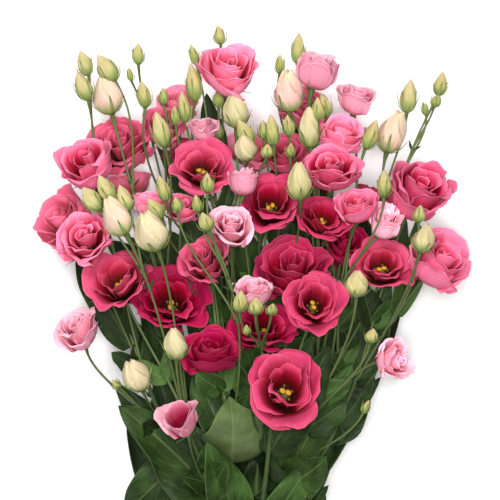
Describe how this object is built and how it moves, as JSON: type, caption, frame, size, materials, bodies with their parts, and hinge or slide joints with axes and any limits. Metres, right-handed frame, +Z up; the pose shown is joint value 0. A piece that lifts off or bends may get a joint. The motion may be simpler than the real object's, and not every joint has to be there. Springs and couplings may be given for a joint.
{
  "type": "lisianthus flower bunch",
  "caption": "Cut bunch of pink double lisianthus lying on its back: branching leafy stems with open blooms and pale buds, gathered by a rubber band near the cut ends.",
  "frame": {"origin": "middle of the bounding box, on the surface that the bunch lies on", "axes": "+Y runs from the cut ends to the flower heads, +X to the right seen from above with the heads away, +Z up"},
  "size_m": [0.393, 0.731, 0.1967],
  "materials": {
    "petals_deep": "soft matte, deep rose with a dark throat",
    "petals_mid": "soft matte, rose pink",
    "petals_light": "soft matte, pale pink",
    "greens": "waxy green leaves and stalks, cream-green buds",
    "band": "plain tan rubber"
  },
  "bodies": {
    "root": {"bloom_01": "petals_mid", "bloom_02": "petals_deep", "bloom_03": "petals_mid", "bloom_04": "petals_light", "bloom_05": "petals_deep", "bloom_06": "petals_deep", "bloom_07": "petals_light", "bloom_08": "petals_deep", "bloom_09": "petals_deep", "bloom_10": "petals_mid", "bloom_11": "petals_deep", "bloom_12": "petals_mid", "bloom_13": "petals_deep", "bloom_14": "petals_deep", "bloom_15": "petals_light", "bloom_16": "petals_deep", "bloom_17": "petals_light", "bloom_18": "petals_deep", "bloom_19": "petals_mid", "bloom_20": "petals_deep", "bloom_21": "petals_mid", "bloom_22": "petals_deep", "bloom_23": "petals_light", "bloom_24": "petals_deep", "bloom_25": "petals_deep", "bloom_26": "petals_deep", "bloom_27": "petals_deep", "bloom_28": "petals_deep", "bloom_29": "petals_light", "bloom_30": "petals_deep", "bloom_31": "petals_mid", "bloom_32": "petals_deep", "bloom_33": "petals_deep", "bloom_34": "petals_deep", "bloom_35": "petals_light", "bloom_36": "petals_deep", "bloom_37": "petals_light", "bloom_38": "petals_mid", "bloom_39": "petals_light", "bloom_40": "petals_mid", "bloom_41": "petals_deep", "bloom_42": "petals_mid", "bloom_43": "petals_mid", "bloom_44": "petals_mid", "bloom_45": "petals_light", "bloom_46": "petals_mid", "bloom_47": "petals_deep", "bloom_48": "petals_mid", "stem_01": "greens", "stem_02": "greens", "stem_03": "greens", "stem_04": "greens", "stem_05": "greens", "stem_06": "greens", "stem_07": "greens", "stem_08": "greens", "stem_09": "greens", "stem_10": "greens", "band": "band"}
  },
  "joints": []
}
